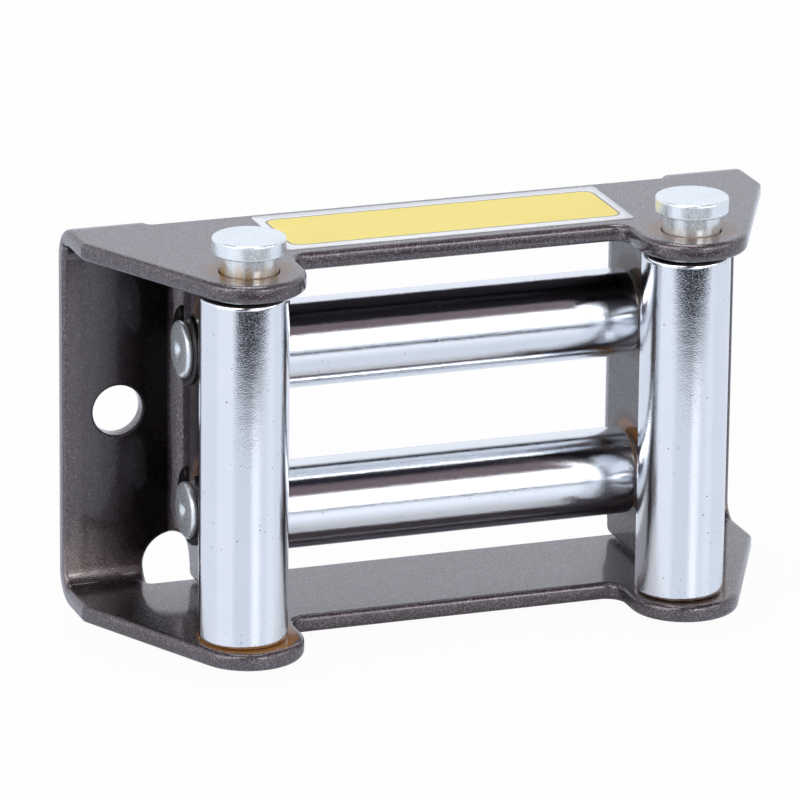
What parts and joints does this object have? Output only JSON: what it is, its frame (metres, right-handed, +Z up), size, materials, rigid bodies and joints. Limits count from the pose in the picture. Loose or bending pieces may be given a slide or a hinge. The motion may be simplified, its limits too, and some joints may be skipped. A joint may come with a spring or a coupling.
{
  "type": "roller fairlead",
  "caption": "Folded sheet-steel bracket that carries upright and level tube rollers on headed pins around a rope opening, to guide a winch rope; it bolts on through its side wings.",
  "frame": {"origin": "midway between the two mounting holes, on the bracket's back face", "axes": "+X to the right seen from the front, along the line of the mounting holes; +Y out of the back face, towards the winch; +Z up; the rollers stand forward of the back face, towards -Y"},
  "size_m": [0.1474, 0.0555, 0.0907],
  "materials": {
    "painted_steel": "dark grey-brown metal-flake powder coat, satin",
    "chrome": "bright chrome plate on steel tube, faint pitting and stains",
    "zinc": "bright zinc plate, satin, bluish",
    "spring_steel": "black phosphated spring steel"
  },
  "bodies": {
    "bracket": {"bracket": "painted_steel"},
    "roller_left": {"roller_left": "chrome"},
    "roller_right": {"roller_right": "chrome"},
    "roller_upper": {"roller_upper": "chrome"},
    "roller_lower": {"roller_lower": "chrome"},
    "pin_left": {"pin_left": "zinc", "clip_left": "spring_steel"},
    "pin_right": {"pin_right": "zinc", "clip_right": "spring_steel"},
    "pin_upper": {"pin_upper": "zinc", "clip_upper": "spring_steel"},
    "pin_lower": {"pin_lower": "zinc", "clip_lower": "spring_steel"}
  },
  "joints": [
    {"name": "roller_left_spin", "type": "hinge", "parent": "bracket", "child": "roller_left", "pos_m": [-0.04825, -0.044, 0], "axis": [0, 0, 1], "continuous": true},
    {"name": "roller_right_spin", "type": "hinge", "parent": "bracket", "child": "roller_right", "pos_m": [0.04635, -0.044, 0], "axis": [0, 0, 1], "continuous": true},
    {"name": "roller_upper_spin", "type": "hinge", "parent": "bracket", "child": "roller_upper", "pos_m": [0, -0.0197, 0.01635], "axis": [1, 0, 0], "continuous": true},
    {"name": "roller_lower_spin", "type": "hinge", "parent": "bracket", "child": "roller_lower", "pos_m": [0, -0.0197, -0.01825], "axis": [1, 0, 0], "continuous": true},
    {"name": "pin_left_slide", "type": "slide", "parent": "bracket", "child": "pin_left", "axis": [0, 0, 1], "range_m": [-0.0038, 0]},
    {"name": "pin_right_slide", "type": "slide", "parent": "bracket", "child": "pin_right", "axis": [0, 0, 1], "range_m": [-0.0038, 0]},
    {"name": "pin_upper_slide", "type": "slide", "parent": "bracket", "child": "pin_upper", "axis": [1, 0, 0], "range_m": [0, 0.0038]},
    {"name": "pin_lower_slide", "type": "slide", "parent": "bracket", "child": "pin_lower", "axis": [1, 0, 0], "range_m": [-0.0011, 0.0027]}
  ]
}
